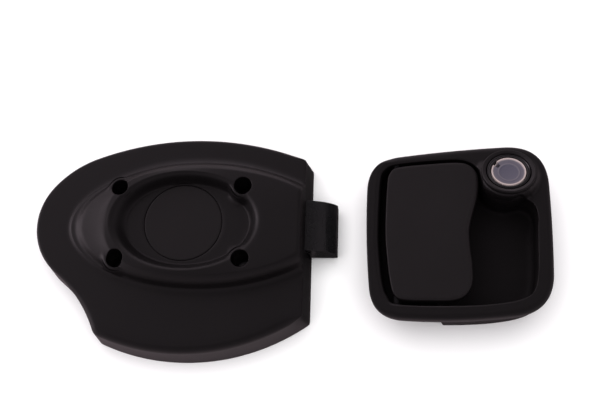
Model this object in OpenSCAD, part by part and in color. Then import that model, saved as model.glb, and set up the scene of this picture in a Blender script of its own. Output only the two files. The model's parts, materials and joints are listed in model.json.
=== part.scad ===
// Garage door lock set: an inner lock case with a slam bolt, and an outer flush paddle handle.
// The two units lie flat side by side, mounting faces down, with the case on the left.

/* [Case outline] */
// Dish centre to the straight right wall
case_reach = 75.4; // [66:0.1:90]
// Dish centre back to the centre of the nose arc
nose_back = 53.6; // [46:0.1:62]
// Nose arc
nose_r = 40.2; // [34:0.1:46]
// Shoulder arc, between the nose and the long top arc
shoulder_r = 64.3; // [56:0.1:74]
// Long top arc
top_r = 178; // [150:1:210]
// Hollow arc on the lower left
hollow_r = 81.6; // [70:0.1:95]
// Long bottom arc
bottom_r = 128.7; // [115:0.1:150]
// Centre of the bottom arc above the dish centre
bottom_rise = 48.7; // [40:0.1:60]
// Chamfer at the lower left corner
corner_cut = 3.5; // [1:0.1:6]
// Height of the skirt
skirt_h = 24; // [20:0.1:30]
// Inward lean of the skirt wall over its height
draft = 2.0; // [1:0.1:3.5]
// Moulded wall
wall = 2.8; // [2:0.1:3.4]

/* [Ridge and dish] */
// Ridge height above the skirt
ridge_h = 12; // [9:0.1:15]
// Half length of the ridge on the nose side
ridge_nose = 73; // [66:0.1:80]
// Half length of the ridge on the bolt side, before the end is cut off
ridge_tail = 88; // [82:0.1:100]
// Half width of the ridge
ridge_half = 40; // [36:0.1:44]
// How much wider the slope is at the nose
nose_slope = 3.2; // [1:0.1:4]
// Half length of the dish at its rim
dish_a = 46.6; // [42:0.1:50]
// Half width of the dish at its rim
dish_b = 31.4; // [29:0.1:33]
// Depth of the dish
dish_depth = 9; // [6:0.1:10]
// Width of the dish wall in plan
dish_run = 8.2; // [6:0.1:10]
// Blanking disc radius
disc_r = 23.65; // [18:0.05:26]
// Blanking disc thickness
disc_t = 1.4; // [1:0.1:1.4]

/* [Case fixings] */
// Screw spacing along the case
hole_dx = 75; // [70:0.5:80]
// Screw spacing across the case
hole_dy = 45; // [42:0.5:48]
// Screw well radius
well_r = 5.35; // [4.5:0.05:6]
// Sleeve bore radius, clear of an M5 screw
sleeve_bore = 2.75; // [2.2:0.05:3.2]
// Sleeve wall
sleeve_t = 1.2; // [0.8:0.1:1.4]
// Sleeve length
sleeve_len = 7; // [4:0.1:9]
// Back plate thickness
plate_t = 2; // [1.5:0.1:3]

/* [Bolt] */
// Bolt width
bolt_w = 31.2; // [26:0.1:32]
// Underside of the bolt above the mounting face
bolt_z = 4; // [3:0.1:5]
// Bolt height
bolt_h = 18; // [14:0.1:18.5]
// Bolt nose beyond the right wall
bolt_out = 17; // [13:0.1:18]
// Radius of the slam face
slam_r = 22; // [18:0.1:30]
// Bolt travel
bolt_travel = 17; // [13:0.1:17]
// Tail width
tail_w = 22; // [16:0.1:24]
// Tail thickness
tail_t = 6; // [4:0.1:7]
// Retractor lever, pivot to drive pin
lever_r = 30; // [27:0.1:32]
// Drive pin radius
drive_r = 3; // [2:0.1:3.5]
// Lever thickness
lever_t = 4; // [3:0.1:4.5]
// Pivot pin radius
pivot_r = 4; // [3:0.1:4.5]
// Bolt spring mean radius
coil_r = 4.3; // [4:0.1:5]
// Bolt spring wire radius
wire_r = 0.7; // [0.5:0.05:0.8]

/* [Handle frame] */
// Gap on the table between the two units
set_gap = 35.4; // [30:0.1:60]
// Half width of the rim
rim_half = 52.8; // [52:0.1:58]
// Handle centre to the top right corner of the rim
rim_rise = 54.6; // [53:0.1:58]
// Handle centre to the bottom right corner of the rim
rim_fall = 44.3; // [44:0.1:50]
// Face of the rim above the table
rim_top = 34; // [32:0.1:38]
// Rim thickness
rim_t = 7; // [6:0.1:9]
// Sealing gasket thickness
gasket_t = 2.5; // [1:0.1:4]
// Bowl wall
bowl_t = 2.5; // [2:0.1:3]
// Depth of the finger recess below the rim face
recess_depth = 23; // [20:0.1:24]
// Depth of the pocket under the paddle
pocket_depth = 19.5; // [18:0.1:20]
// Where the shallow pocket ends and the deep recess begins
split_x = -10.3; // [-13:0.1:-8]
// Handle centre above the case centre
handle_y = 4.05; // [-10:0.05:10]

/* [Paddle] */
// Paddle face below the rim face
paddle_drop = 0.4; // [0.2:0.1:2]
// Paddle plate thickness
paddle_t = 6.4; // [5:0.1:6.6]
// Hinge line from the handle centre
hinge_x = -35; // [-35.6:0.1:-34.6]
// Hinge line below the rim face
hinge_drop = 4; // [3.8:0.1:4.2]
// Hinge pin radius
hinge_r = 1.75; // [1.2:0.05:1.9]
// Hinge pin length in the rim
hinge_in_rim = 5; // [3:0.1:6]
// Heel width
heel_w = 16; // [10:0.1:20]
// Heel length below the hinge line
heel_len = 13.5; // [12:0.1:13.8]
// Release slide travel
slide_travel = 7.4; // [5:0.1:7.6]
// Release slide width
slide_w = 20; // [14:0.1:24]

/* [Lock barrel] */
// Barrel centre from the handle centre, across
boss_x = 30.4; // [28:0.1:32]
// Barrel centre from the handle centre, up
boss_y = 35.5; // [34:0.1:37]
// Lean of the barrel towards the top of the handle
boss_lean = 18.5; // [10:0.5:19]
// Boss face above the rim face at the barrel centre
boss_rise = 3; // [2:0.1:4]
// Boss radius
boss_r = 15.8; // [15:0.1:15.9]
// Collar height
collar_h = 2; // [1.5:0.1:3]
// Turning carrier radius
carrier_r = 12.8; // [12:0.1:13.2]
// Dust plug radius
plug_r = 10.5; // [9:0.1:11.2]
// Barrel shaft radius
shaft_r = 6; // [5:0.1:6.4]
// Cam length from the barrel axis
cam_len = 16; // [12:0.1:17]

/* [Clearances] */
// Gap between pieces that move past each other
gap = 0.3; // [0.2:0.05:0.5]
// Radial clearance of turning fits
fit = 0.05; // [0.02:0.01:0.1]

/* [Hidden] */
$fn = 48;
shoulder_at = 139.5;
top_at = 110.8;
hollow_at = 231.3;
nose_c = [-nose_back, 0.5];
shoulder_c = nose_c - (shoulder_r - nose_r) * u(shoulder_at);
top_c = shoulder_c - (top_r - shoulder_r) * u(top_at);
hollow_c = nose_c + (nose_r + hollow_r) * u(hollow_at);
bottom_c = [0.6, bottom_rise];
case_len = case_reach + nose_back + nose_r;
case_top = top_c.y + top_r;
case_bottom = bottom_c.y - bottom_r;
rim_tl = [1.4 - rim_half, rim_rise - 9.7];
rim_tr = [rim_half, rim_rise];
rim_br = [rim_half + 0.5, -rim_fall];
rim_bl = [3.9 - rim_half, -rim_fall - 5.3];
rim_bow = [4.2, 1.6, 1.8, 2.2];
rim_round = [20, 24, 18, 18];
rim_pts = bowed([rim_bl, rim_br, rim_tr, rim_tl], rim_bow, rim_round);
rim_min = min([for (p = rim_pts) p.x]);
rim_max = max([for (p = rim_pts) p.x]);
total_x = case_len + set_gap + rim_max - rim_min;
dish_x = nose_back + nose_r - total_x / 2;
dish_y = -(case_top + case_bottom) / 2;
handle_x = total_x / 2 - rim_max;
ridge_top = skirt_h + ridge_h;
dish_floor = ridge_top - dish_depth;
ceiling = skirt_h - wall;
dish_under = dish_floor - wall + 0.2;
dish_steep = 0.8;
ridge_end = case_reach - draft - 1.8;
hole_x0 = -1.5;
hole_y0 = -1;
holes = [for (i = [-1, 1], j = [-1, 1]) [hole_x0 + i * hole_dx / 2, hole_y0 + j * hole_dy / 2]];
well_floor = plate_t + sleeve_len + 1;
boss_wall = 2.15;
guide_x = hole_x0 + hole_dx / 2 + well_r + boss_wall + 2.9;
guide_len = case_reach - 11 - guide_x;
cover_screws = [[-68, 8], [-22, -60], [55, -42], [28, 45]];
bolt_tip = case_reach + bolt_out;
bolt_rear = case_reach - 13;
slam_x = bolt_tip - 18.5;
slam_z = bolt_z + bolt_h - slam_r;
tail_end = -10;
tail_block = 10;
spring_z = bolt_z + tail_t + 1;
lever_x = 9;
swing = 2 * asin(bolt_travel / 2 / lever_r);
lever_y = -lever_r * cos(swing / 2);
lever_z = bolt_z + tail_t + 6.6;
post_x = -46;
rim_z = rim_top - rim_t;
gasket_z = rim_z - gasket_t;
recess_z = rim_top - recess_depth;
pocket_z = rim_top - pocket_depth;
paddle_top = rim_top - paddle_drop;
paddle_z = paddle_top - paddle_t;
hinge_z = rim_top - hinge_drop;
hinge_hi = 40.4;
hinge_lo = -40.6;
heel_x0 = hinge_x + 2.5;
heel_x1 = hinge_x + 6.3;
slide_x = heel_x1 + 0.4;
slide_z = pocket_z + 0.5;
slide_t = 3;
slide_len = 19.5;
boss_z = rim_top + boss_rise;
head_len = 10;
shaft_end = 33;
spigot_r = 3;
cam_rest = 28;
insert_r = 3.2;
inserts = [[-36, 10], [-36, -32], [40, 10], [40, -32]];
opening_pts = spline([[-0.8, -43.4], [22, -41.9], [37.6, -38.6], [43.6, -33.5], [45.9, -22], [46.6, 0],
    [46.9, 10.5], [44.6, 17.6], [38, 20.8], [30.2, 18.7], [22.5, 20.4], [16.6, 25.4], [14.6, 32.5],
    [12.6, 39.5], [6.4, 44], [-4, 45], [-33.5, 42.4], [-41.5, 38.8], [-44.2, 31], [-45.4, 1.2],
    [-44.6, -15], [-43, -28.8], [-40.3, -37.6], [-33.5, -42.9]], 3);
paddle_pts = spline([[-31.5, -40.2], [-16, -40.7], [-2.5, -40.3], [4.6, -37.2], [8.6, -30], [8.8, -19],
    [7.6, -7], [7.5, 3], [9.8, 13], [12.4, 22.5], [13.3, 30.5], [12.3, 37.2], [8, 42.1], [0.5, 43.8],
    [-18, 42.7], [-34, 40.8], [-38.9, 37], [-40.6, 29], [-41.5, 1.7], [-40.4, -16], [-38.6, -30],
    [-36.6, -37]], 3);

function u(a) = [cos(a), sin(a)];

function arc(c, r, a0, a1, n) = [for (i = [0 : n - 1]) c + r * u(a0 + (a1 - a0) * i / n)];

function lift(pts, z) = [for (p = pts) [p.x, p.y, z]];

function bez(a, b, c, t) = (1 - t) * (1 - t) * a + 2 * t * (1 - t) * b + t * t * c;

// Closed smooth curve through a few points
function spline(p, n) = let (m = len(p)) [
    for (i = [0 : m - 1], k = [0 : n - 1])
        let (a = p[(i + m - 1) % m], b = p[i], c = p[(i + 1) % m], d = p[(i + 2) % m], t = k / n)
            b + t * (c - a) / 2 + t * t * (a - 2.5 * b + 2 * c - d / 2)
            + t * t * t * (-a / 2 + 1.5 * b - 1.5 * c + d / 2)];

// Four sided outline with bowed sides and rounded corners
function side_at(a, b, bow, t) = let (d = b - a, m = [d.y, -d.x] / norm(d))
    a + t * d + 4 * bow * t * (1 - t) * m;

function bowed(q, bow, cut) = [
    for (i = [0 : 3])
        let (a = q[i], b = q[(i + 1) % 4], c = q[(i + 2) % 4], l = norm(b - a),
            t0 = cut[(i + 3) % 4] / l, t1 = 1 - cut[i] / l,
            e = side_at(a, b, bow[i], t1),
            f = side_at(b, c, bow[(i + 1) % 4], cut[i] / norm(c - b)))
            each concat(
                [for (k = [0 : 5]) side_at(a, b, bow[i], t0 + (t1 - t0) * k / 6)],
                [for (k = [0 : 7]) bez(e, b, f, k / 8)])];

// Outline moved inward along its own normals
function inset(p, e) = let (n = len(p)) [
    for (i = [0 : n - 1])
        let (t = p[(i + 1) % n] - p[(i + n - 1) % n])
            p[i] - e * [t.y, -t.x] / norm(t)];

// Where two circles cross, on the side away from the case
function crossing(a, ra, b, rb) = let (d = norm(b - a), v = (b - a) / d,
    s = (ra * ra - rb * rb + d * d) / (2 * d), h = sqrt(ra * ra - s * s)) a + s * v + h * [v.y, -v.x];

function heading(c, p) = atan2(p.y - c.y, p.x - c.x);

// Case outline at an inset from its foot
function case_outline(d) = let (
    x = case_reach - d,
    b = acos((x - top_c.x) / (top_r - d)),
    a = -acos((x - bottom_c.x) / (bottom_r - d)),
    k = crossing(hollow_c, hollow_r + d, bottom_c, bottom_r - d),
    h1 = heading(hollow_c, k) + corner_cut / hollow_r * 57.3,
    b0 = heading(bottom_c, k) + corner_cut / bottom_r * 57.3,
    p0 = bottom_c + (bottom_r - d) * u(a),
    p1 = top_c + (top_r - d) * u(b)) concat(
        [for (i = [0 : 7]) p0 + (p1 - p0) * i / 8],
        arc(top_c, top_r - d, b, top_at, 13),
        arc(shoulder_c, shoulder_r - d, top_at, shoulder_at, 5),
        arc(nose_c, nose_r - d, shoulder_at, hollow_at, 9),
        arc(hollow_c, hollow_r + d, hollow_at - 180, h1, 7),
        [hollow_c + (hollow_r + d) * u(h1)],
        arc(bottom_c, bottom_r - d, b0, a, 15));

case_at = [for (p = case_outline(0)) atan2(p.y, p.x)];

function oval(a, b, t) = 1 / sqrt(pow(cos(t) / a, 2) + pow(sin(t) / b, 2)) * u(t);

// Ridge outline at an inset, spread out over the nose and cut off at the bolt end
function ridge_ring(e, z, back) = [
    for (t = case_at)
        let (a = cos(t) > 0 ? ridge_tail : ridge_nose,
            p = oval(a, ridge_half, t),
            g = [p.x / a / a, p.y / ridge_half / ridge_half],
            w = 1 + nose_slope * pow(max(0, -cos(t)), 3),
            q = p - e * (e > 0 ? w : 1) * g / norm(g))
            [min(q.x, ridge_end - back - 0.04 * (z - skirt_h)), q.y, z]];

function dish_ring(e, z) = [
    for (t = case_at)
        let (p = oval(dish_a - e, dish_b - (e > 0 ? dish_steep : 1) * e, t))
            [p.x, p.y, z]];

// Solid through a list of rings with the same number of points
module loft(rings) {
    n = len(rings[0]);
    m = len(rings);
    polyhedron(
        points = [for (r = rings) each r],
        faces = concat(
            [[for (i = [0 : n - 1]) i]],
            [for (k = [0 : m - 2], i = [0 : n - 1])
                let (a = k * n + i, b = k * n + (i + 1) % n)
                    each [[a, a + n, b + n], [a, b + n, b]]],
            [[for (i = [n - 1 : -1 : 0]) (m - 1) * n + i]]),
        convexity = 8);
}

// Helical wire along +X
module coil(r, w, length, turns) {
    per = 14;
    n = turns * per;
    ring = 6;
    loft([for (i = [0 : n])
        let (a = 360 * i / per, x = w + (length - 2 * w) * i / n)
            [for (k = [0 : ring - 1])
                let (b = -360 * k / ring, q = r + w * cos(b))
                    [x + w * sin(b), q * cos(a), q * sin(a)]]]);
}

module case_place() {
    translate([dish_x, dish_y, 0]) children();
}

module handle_place() {
    translate([handle_x, handle_y, 0]) children();
}

module barrel_place() {
    handle_place() translate([boss_x, boss_y, boss_z]) rotate([-boss_lean, 0, 0]) children();
}

// Outside of the case as a solid, from the mounting face up and over into the dish
module cover_body() {
    loft([
        lift(case_outline(0), 0),
        lift(case_outline(draft), skirt_h - 1.6),
        lift(case_outline(draft + 0.45), skirt_h - 0.5),
        lift(case_outline(draft + 1.4), skirt_h),
        ridge_ring(-3, skirt_h + 0.05, 0),
        ridge_ring(-0.8, skirt_h + 1.1, 0),
        ridge_ring(0.5, skirt_h + 3.2, 0),
        ridge_ring(1.7, ridge_top - 3.2, 0),
        ridge_ring(3, ridge_top - 1, 0.5),
        ridge_ring(5, ridge_top, 2),
        dish_ring(0, ridge_top - 0.05),
        dish_ring(1.8, ridge_top - 0.8),
        dish_ring(3.2, ridge_top - 2.2),
        dish_ring(dish_run - 2.4, dish_floor + 1.4),
        dish_ring(dish_run, dish_floor)]);
}

// Hollow behind the case, open at the mounting face
module cover_hollow() {
    loft([
        lift(case_outline(wall), -1),
        lift(case_outline(draft + wall), ceiling),
        ridge_ring(0.6, ceiling, wall),
        ridge_ring(3.2, skirt_h + 2, wall),
        ridge_ring(4.6, ridge_top - 1.2 * wall, wall),
        dish_ring(-1.8, ridge_top - 1.2 * wall),
        dish_ring(1.5, dish_under + 3.2),
        dish_ring(dish_run - 1.5, dish_under)]);
}

// Moulded case cover: skirt, ridge, dish, screw wells and the bolt slot
module case_cover() {
    color([0.13, 0.12, 0.12]) case_place() difference() {
        cover_body();
        difference() {
            cover_hollow();
            for (p = holes)
                translate([p.x, p.y, plate_t]) cylinder(r = well_r + boss_wall, h = ridge_top);
            for (p = cover_screws)
                translate([p.x, p.y, plate_t]) cylinder(r = 4, h = ridge_top);
        }
        for (p = holes) translate([p.x, p.y, -1]) {
            translate([0, 0, well_floor + 1]) cylinder(r = well_r, h = ridge_top);
            cylinder(r = sleeve_bore + sleeve_t + 0.02, h = well_floor + 2);
        }
        for (p = cover_screws)
            translate([p.x, p.y, 0]) cylinder(r = 1.55, h = 14);
        translate([0, 0, dish_floor - disc_t]) cylinder(r = disc_r + 0.25, h = disc_t + 5);
        cylinder(r = 4.1, h = dish_floor + 1);
        translate([case_reach - 20, -bolt_w / 2 - gap, bolt_z - gap])
            cube([30, bolt_w + 2 * gap, bolt_h + 2 * gap]);
    }
}

// Pressed steel back plate
module back_plate() {
    color([0.62, 0.62, 0.64]) case_place() difference() {
        linear_extrude(plate_t) polygon(case_outline(wall + gap));
        for (p = holes)
            translate([p.x, p.y, -1]) cylinder(r = sleeve_bore, h = plate_t + 2);
        for (p = cover_screws) translate([p.x, p.y, 0]) {
            translate([0, 0, -1]) cylinder(r = 1.6, h = plate_t + 2);
            translate([0, 0, -0.01]) cylinder(r1 = 3.06, r2 = 1.6, h = 1.46);
        }
        translate([lever_x, lever_y, -1]) cylinder(r = pivot_r, h = plate_t + 2);
    }
}

// Four self-tapping screws that hold the back plate to the cover
module plate_screws() {
    color([0.7, 0.7, 0.72]) case_place() for (p = cover_screws) translate([p.x, p.y, 0]) difference() {
        union() {
            cylinder(r1 = 3, r2 = 1.54, h = 1.46);
            cylinder(r = 1.5, h = 12.5);
        }
        translate([-2, -0.35, -1]) cube([4, 0.7, 1.6]);
        translate([-0.35, -2, -1]) cube([0.7, 4, 1.6]);
    }
}

// Four steel sleeves in the foot of the screw wells
module screw_sleeves() {
    color([0.7, 0.7, 0.72]) case_place() for (p = holes) translate([p.x, p.y, plate_t]) difference() {
        cylinder(r = sleeve_bore + sleeve_t, h = sleeve_len);
        translate([0, 0, -1]) cylinder(r = sleeve_bore, h = sleeve_len + 2);
    }
}

// Blanking disc snapped into the dish floor
module blanking_disc() {
    color([0.12, 0.11, 0.11]) case_place() {
        translate([0, 0, dish_floor - disc_t]) cylinder(r = disc_r, h = disc_t);
        translate([0, 0, dish_floor - wall - 1.6]) difference() {
            cylinder(r = 4, h = wall + 1.6 - disc_t / 2);
            translate([0, 0, -1]) cylinder(r = 2.6, h = wall + 0.6);
        }
    }
}

// Slam bolt: rounded head, flat tail with a cross slot, and a spring block
module latch_bolt() {
    color([0.1, 0.1, 0.1]) case_place() difference() {
        union() {
            intersection() {
                translate([bolt_rear, -bolt_w / 2, bolt_z]) cube([bolt_tip - bolt_rear, bolt_w, bolt_h]);
                union() {
                    translate([bolt_rear - 1, -bolt_w, 0]) cube([slam_x - bolt_rear + 1, 2 * bolt_w, 40]);
                    translate([slam_x, bolt_w, slam_z]) rotate([90, 0, 0])
                        cylinder(r = slam_r, h = 2 * bolt_w, $fn = 96);
                }
            }
            translate([tail_end, -tail_w / 2, bolt_z]) cube([bolt_rear - tail_end + 1, tail_w, tail_t]);
            translate([tail_end, -tail_w / 2, bolt_z]) cube([tail_block, tail_w, spring_z + 5 - bolt_z]);
            translate([tail_end + 1, 0, spring_z]) rotate([0, -90, 0]) cylinder(r = 3, h = 7);
        }
        translate([lever_x + bolt_travel / 2 - drive_r - gap, -7, bolt_z - 1])
            cube([2 * (drive_r + gap), 14, tail_t + 2]);
    }
}

// Compression spring behind the bolt
module bolt_spring() {
    color([0.75, 0.75, 0.77]) case_place() translate([post_x + 0.05, 0, spring_z])
        coil(coil_r, wire_r, tail_end - post_x - 0.1, 8);
}

// Spring post riveted to the back plate
module spring_post() {
    color([0.6, 0.6, 0.62]) case_place() {
        translate([post_x - 6, -9, plate_t]) cube([6, 18, spring_z + 6 - plate_t]);
        translate([post_x - 1, 0, spring_z]) rotate([0, 90, 0]) cylinder(r = 3, h = 8);
    }
}

// Bridge that guides the bolt head
module bolt_guide() {
    t = 1.7;
    h = bolt_z + bolt_h + gap - plate_t;
    color([0.6, 0.6, 0.62]) case_place() translate([guide_x, 0, plate_t]) {
        for (s = [-1, 1])
            translate([0, s * (bolt_w / 2 + gap + t / 2) - t / 2, 0]) cube([guide_len, t, h + t]);
        translate([0, -bolt_w / 2 - gap - t / 2, h]) cube([guide_len, bolt_w + 2 * gap + t, t]);
    }
}

// Retractor lever with its drive pin in the cross slot of the bolt
module retractor_lever() {
    far = 22;
    color([0.55, 0.55, 0.58]) case_place() translate([lever_x, lever_y, 0]) rotate([0, 0, -swing / 2])
    difference() {
        union() {
            translate([0, 0, lever_z]) cylinder(r = 8, h = lever_t);
            translate([-5.5, -far, lever_z]) cube([11, far + lever_r, lever_t]);
            translate([0, lever_r, lever_z]) cylinder(r = 6.5, h = lever_t);
            translate([0, -far, lever_z]) cylinder(r = 5.5, h = lever_t);
            translate([0, lever_r, bolt_z + 0.6]) cylinder(r = drive_r, h = lever_z - bolt_z);
        }
        translate([0, 0, lever_z - 1]) cylinder(r = pivot_r + fit, h = lever_t + 2);
        translate([0, -far, lever_z - 1]) cylinder(r = 2.1, h = lever_t + 2);
    }
}

// Shouldered pivot pin pressed into the back plate
module lever_pin() {
    color([0.7, 0.7, 0.72]) case_place() translate([lever_x, lever_y, 0]) difference() {
        union() {
            cylinder(r = pivot_r, h = lever_z + lever_t + 2.6);
            translate([0, 0, plate_t]) cylinder(r = pivot_r + 2.5, h = lever_z - gap - plate_t);
        }
        translate([0, 0, lever_z + lever_t + gap]) difference() {
            cylinder(r = pivot_r + 1, h = 1.2);
            cylinder(r = pivot_r - 0.8, h = 1.2);
        }
    }
}

// Retaining ring in the groove of the pivot pin
module lever_clip() {
    color([0.5, 0.5, 0.52]) case_place() translate([lever_x, lever_y, lever_z + lever_t + gap + 0.1])
    difference() {
        cylinder(r = pivot_r + 2.2, h = 1);
        translate([0, 0, -1]) cylinder(r = pivot_r - 0.75, h = 3);
        translate([0, -2, -1]) cube([12, 4, 3]);
    }
}

module opening_shape(grow) {
    if (grow > 0) offset(delta = grow) polygon(opening_pts);
    else polygon(opening_pts);
}

module deep_side() {
    translate([split_x, -60]) square([80, 120]);
}

module shallow_side() {
    translate([-80, -60]) square([80 + split_x + bowl_t, 120]);
}

// Moulded handle frame: rim, paddle pocket, finger recess, leaning barrel boss and slide rails
module handle_frame() {
    r = boss_r + 0.35;
    color([0.14, 0.13, 0.13]) difference() {
        union() {
            handle_place() {
                difference() {
                    loft([
                        lift(inset(rim_pts, 0.5), rim_z),
                        lift(rim_pts, rim_z + 0.9),
                        lift(inset(rim_pts, 0.4), rim_top - 2),
                        lift(inset(rim_pts, 1.4), rim_top - 0.6),
                        lift(inset(rim_pts, 3.2), rim_top)]);
                    translate([0, 0, rim_z - 1]) linear_extrude(rim_t + 2) opening_shape(0);
                }
                translate([0, 0, pocket_z - bowl_t]) linear_extrude(rim_z - pocket_z + bowl_t + 0.5)
                difference() {
                    opening_shape(bowl_t);
                    opening_shape(0);
                }
                translate([0, 0, pocket_z - bowl_t]) linear_extrude(bowl_t) intersection() {
                    opening_shape(0.5);
                    shallow_side();
                }
                linear_extrude(pocket_z) intersection() {
                    difference() {
                        opening_shape(bowl_t);
                        opening_shape(0);
                    }
                    deep_side();
                }
                linear_extrude(pocket_z) intersection() {
                    opening_shape(0.5);
                    translate([split_x, -60]) square([bowl_t, 120]);
                }
                translate([0, 0, recess_z - bowl_t]) linear_extrude(bowl_t) intersection() {
                    opening_shape(0.5);
                    deep_side();
                }
                for (p = inserts)
                    translate([p.x, p.y, 1])
                        cylinder(r = insert_r + 2, h = (p.x < 0 ? pocket_z : recess_z) - 2);
                for (s = [-1, 1])
                    translate([slide_x - 0.5, s * (slide_w / 2 + gap + 1.5) - 1.5, pocket_z - 1])
                        cube([17.5, 3, slide_t + 1.8]);
                for (s = [0, 12])
                    translate([hinge_x + 4, 14 + s, pocket_z - 1]) cube([9, 2.5, 11]);
                for (y = [-30, 29])
                    translate([split_x - 4, y, pocket_z - 1])
                        cylinder(r = 4.5, h = paddle_z - pocket_z - 1.5);
            }
            barrel_place() translate([0, 0, -13]) cylinder(r = boss_r, h = 13);
            barrel_place() translate([0, 0, -28]) cylinder(r = shaft_r + 2, h = 16);
        }
        barrel_place() {
            cylinder(r = r, h = 12);
            translate([0, 0, -head_len - 0.3]) cylinder(r = carrier_r + gap, h = head_len + 5);
            translate([0, 0, -40]) cylinder(r = shaft_r + fit, h = 40);
        }
        handle_place() {
            for (p = inserts)
                translate([p.x, p.y, 0]) cylinder(r = insert_r, h = 8);
            for (s = [-1, 1])
                translate([hinge_x, (s > 0 ? hinge_hi : hinge_lo) + s * (hinge_in_rim + 0.3), hinge_z])
                    rotate([s * 90, 0, 0]) cylinder(r = hinge_r + fit, h = 14);
            translate([slide_x + 3.8, -4.3, pocket_z - bowl_t - 1])
                cube([5 + slide_travel, 8.6, bowl_t + 2]);
            translate([hinge_x + 8, 40, pocket_z + 7]) rotate([90, 0, 0]) cylinder(r = 2.02, h = 27);
        }
    }
}

// Rubber gasket behind the rim
module rim_gasket() {
    color([0.06, 0.06, 0.06]) difference() {
        handle_place() translate([0, 0, gasket_z]) linear_extrude(gasket_t) difference() {
            polygon(inset(rim_pts, 1.2));
            opening_shape(bowl_t + 0.3);
        }
        barrel_place() translate([0, 0, -30]) cylinder(r = boss_r + 0.3, h = 40);
    }
}

// Paddle: rounded plate, two hinge ears and the heel that drives the release slide
module paddle() {
    color([0.14, 0.13, 0.13]) handle_place() difference() {
        union() {
            loft([
                lift(inset(paddle_pts, 0.8), paddle_z),
                lift(paddle_pts, paddle_z + 0.8),
                lift(inset(paddle_pts, 0.1), paddle_top - 2.2),
                lift(inset(paddle_pts, 0.8), paddle_top - 0.8),
                lift(inset(paddle_pts, 2.4), paddle_top)]);
            translate([heel_x0, -heel_w / 2, hinge_z - heel_len])
                cube([heel_x1 - heel_x0, heel_w, paddle_z + 1 - hinge_z + heel_len]);
        }
        for (s = [-1, 1])
            translate([hinge_x, (s > 0 ? hinge_hi : hinge_lo) + s * 3, hinge_z]) rotate([s * 90, 0, 0])
                cylinder(r = hinge_r, h = 14);
    }
}

// Two stub hinge pins, fixed in the paddle and turning in the rim
module hinge_pins() {
    color([0.7, 0.7, 0.72]) handle_place() for (s = [-1, 1])
        translate([hinge_x, (s > 0 ? hinge_hi : hinge_lo) + s * hinge_in_rim, hinge_z])
            rotate([s * 90, 0, 0]) cylinder(r = hinge_r, h = 10.5 + hinge_in_rim);
}

// Arbor of the paddle spring
module spring_arbor() {
    color([0.7, 0.7, 0.72]) handle_place() translate([hinge_x + 8, 31, pocket_z + 7]) rotate([90, 0, 0])
        cylinder(r = 2, h = 19);
}

// Torsion spring that shuts the paddle
module paddle_spring() {
    w = 0.7;
    color([0.75, 0.75, 0.77]) handle_place() translate([hinge_x + 8, 0, pocket_z + 7]) {
        translate([0, 24.6, 0]) rotate([0, 0, -90]) coil(3.2, w, 7, 4);
        translate([3.2, 17.6 + w, 0]) cylinder(r = w, h = paddle_z - pocket_z - 7.1);
        translate([3.2, 24.6 - w, -6.8]) cylinder(r = w, h = 6.8);
    }
}

// Release slide under the paddle, pushed by the heel
module release_slide() {
    color([0.6, 0.6, 0.62]) handle_place() difference() {
        union() {
            translate([slide_x, -slide_w / 2, slide_z]) cube([slide_len, slide_w, slide_t]);
            translate([slide_x, -slide_w / 2, slide_z]) cube([3, slide_w, hinge_z - 6 - slide_z]);
            translate([slide_x + 4.3, -4, 4.5]) cube([4, 8, slide_z - 4]);
        }
        translate([slide_x - 0.5, 0, 7.5]) rotate([0, 90, 0]) cylinder(r = 2.1, h = 12);
    }
}

// Bridge over the slide
module slide_keeper() {
    z = slide_z + slide_t + gap;
    color([0.6, 0.6, 0.62]) handle_place()
        translate([slide_x + 11.2, -slide_w / 2 - gap - 3, z]) cube([5.5, slide_w + 2 * gap + 6, 1.5]);
}

// Rubber buffers the shut paddle rests over
module paddle_buffers() {
    color([0.06, 0.06, 0.06]) handle_place() for (y = [-30, 29])
        translate([split_x - 4, y, paddle_z - 2.5]) cylinder(r = 3.6, h = 2.5 - gap);
}

// Fixed collar around the barrel
module barrel_collar() {
    color([0.12, 0.11, 0.12]) barrel_place() difference() {
        union() {
            cylinder(r = boss_r, h = collar_h - 0.7);
            translate([0, 0, collar_h - 0.7]) cylinder(r1 = boss_r, r2 = boss_r - 0.7, h = 0.7);
        }
        translate([0, 0, -1]) cylinder(r = carrier_r + gap, h = collar_h + 2);
    }
}

// Turning barrel carrier with its shaft
module barrel_carrier() {
    color([0.09, 0.09, 0.1]) barrel_place() difference() {
        union() {
            translate([0, 0, -head_len]) cylinder(r = carrier_r, h = head_len + collar_h - 0.6);
            translate([0, 0, -shaft_end + 2.6]) cylinder(r = shaft_r, h = shaft_end - head_len);
            translate([0, 0, -shaft_end]) cylinder(r = spigot_r, h = 4);
        }
        translate([0, 0, -2.5]) cylinder(r = plug_r + 0.1, h = 10);
        translate([0, 0, -8]) cylinder(r = 4.1, h = 10);
        translate([0, 0, -shaft_end - 1]) cylinder(r = 1.5, h = 9);
    }
}

// Locking cam on the end of the barrel shaft
module locking_cam() {
    color([0.62, 0.62, 0.64]) barrel_place() rotate([0, 0, cam_rest]) translate([0, 0, -shaft_end])
    difference() {
        union() {
            cylinder(r = spigot_r + 2.2, h = 2.5);
            translate([0, -3.5, 0]) cube([cam_len - 3.5, 7, 2.5]);
            translate([cam_len - 3.5, 0, 0]) cylinder(r = 3.5, h = 2.5);
        }
        translate([0, 0, -1]) cylinder(r = spigot_r + 0.02, h = 5);
    }
}

// Screw that holds the cam
module cam_screw() {
    color([0.7, 0.7, 0.72]) barrel_place() translate([0, 0, -shaft_end]) difference() {
        union() {
            translate([0, 0, -2]) cylinder(r = spigot_r + 1.2, h = 2);
            cylinder(r = 1.48, h = 7);
        }
        translate([-6, -0.5, -3]) cube([12, 1, 2]);
    }
}

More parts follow.
